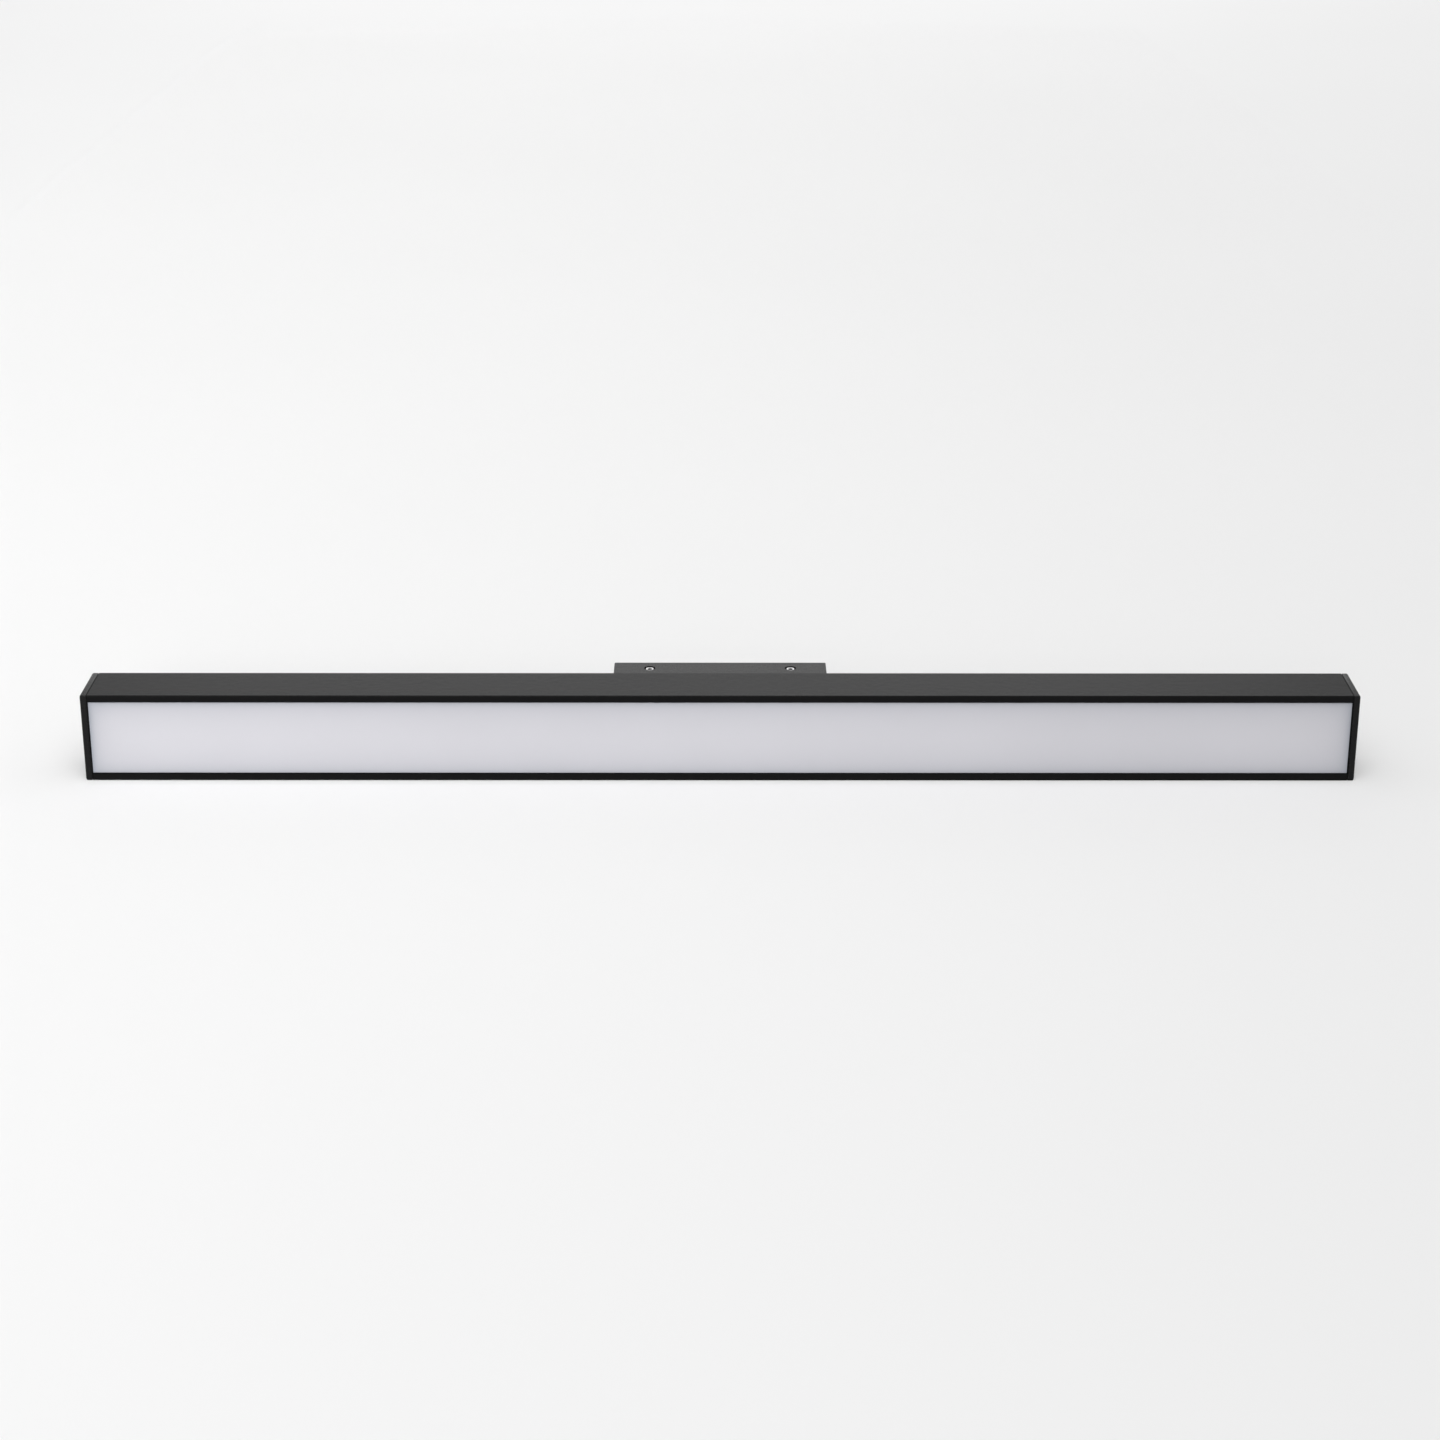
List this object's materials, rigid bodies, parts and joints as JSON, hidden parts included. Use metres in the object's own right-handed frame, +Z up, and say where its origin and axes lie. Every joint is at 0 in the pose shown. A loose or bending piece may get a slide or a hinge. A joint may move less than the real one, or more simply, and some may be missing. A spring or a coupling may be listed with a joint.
{
  "type": "vanity light bar",
  "caption": "Slim black linear light with an opal front diffuser, on a shallow wall canopy that slides over a bracket and is locked by set screws in its top.",
  "frame": {"origin": "on the wall plane, on the axis of the bracket's cable hole, midway between its two screw slots and at half the bar's height", "axes": "+X along the bar, to the right as seen from the room; +Y into the wall, so the diffuser faces -Y; +Z up"},
  "size_m": [0.6, 0.047, 0.0428],
  "materials": {
    "housing_black": "fine-textured black powder coat on extruded aluminium",
    "cap_black": "fine-textured black powder coat",
    "canopy_black": "fine-textured black powder coat on steel sheet",
    "opal_acrylic": "opal white acrylic with a satin face",
    "black_rubber": "matte moulded rubber",
    "black_steel": "black zinc plating",
    "white_sheet": "white painted sheet",
    "white_board": "white solder mask on an aluminium core",
    "led_phosphor": "pale yellow phosphor in a white package",
    "zinc_steel": "bright zinc plating",
    "bright_steel": "bright nickel plating",
    "white_nylon": "natural white nylon",
    "adhesive_tape": "foam adhesive tape",
    "driver_plastic": "moulded white plastic",
    "green_board": "green solder mask on glass-fibre board",
    "ferrite": "dark grey ferrite",
    "capacitor_can": "dark blue sleeve",
    "plain_brass": "plain machined brass",
    "tinned_brass": "tin plating",
    "brown_pvc": "smooth brown insulation",
    "blue_pvc": "smooth blue insulation",
    "green_yellow_pvc": "green and yellow striped insulation",
    "red_pvc": "smooth red insulation",
    "black_pvc": "smooth black insulation"
  },
  "bodies": {
    "wall_mount": {"wall_bracket": "zinc_steel", "bracket_earth_screw": "plain_brass"},
    "light": {"housing_profile": "housing_black", "diffuser": "opal_acrylic", "end_cap_left": "cap_black", "end_cap_right": "cap_black", "end_gasket_left": "black_rubber", "end_gasket_right": "black_rubber", "end_cap_screws": "black_steel", "reflector_tray": "white_sheet", "led_board_left": "white_board", "led_board_right": "white_board", "led_chips": "led_phosphor", "led_board_screws": "zinc_steel", "board_link": "white_nylon", "board_plug": "white_nylon", "driver_tape": "adhesive_tape", "driver_case": "driver_plastic", "driver_lid": "driver_plastic", "driver_board": "green_board", "driver_transformer": "ferrite", "driver_capacitors": "capacitor_can", "nut_plate": "zinc_steel", "web_grommet": "black_rubber", "mains_grommet": "black_rubber", "canopy": "canopy_black", "canopy_screws": "zinc_steel", "lock_nut_bar": "zinc_steel", "terminal_block": "white_nylon", "terminal_clamps": "plain_brass", "terminal_screws": "zinc_steel", "terminal_mount_screw": "zinc_steel", "earth_tag": "tinned_brass", "earth_screw": "plain_brass", "wire_line": "brown_pvc", "wire_neutral": "blue_pvc", "wire_earth": "green_yellow_pvc", "wire_dc_plus": "red_pvc", "wire_dc_minus": "black_pvc"},
    "lock_left": {"lock_screw_left": "bright_steel"},
    "lock_right": {"lock_screw_right": "bright_steel"}
  },
  "joints": [
    {"name": "lift_off", "type": "slide", "parent": "wall_mount", "child": "light", "axis": [0, -1, 0], "range_m": [0, 0.03]},
    {"name": "lock_screw_left_travel", "type": "slide", "parent": "light", "child": "lock_left", "axis": [0, 0, 1], "range_m": [0, 0.003]},
    {"name": "lock_screw_right_travel", "type": "slide", "parent": "light", "child": "lock_right", "axis": [0, 0, 1], "range_m": [0, 0.003]}
  ]
}
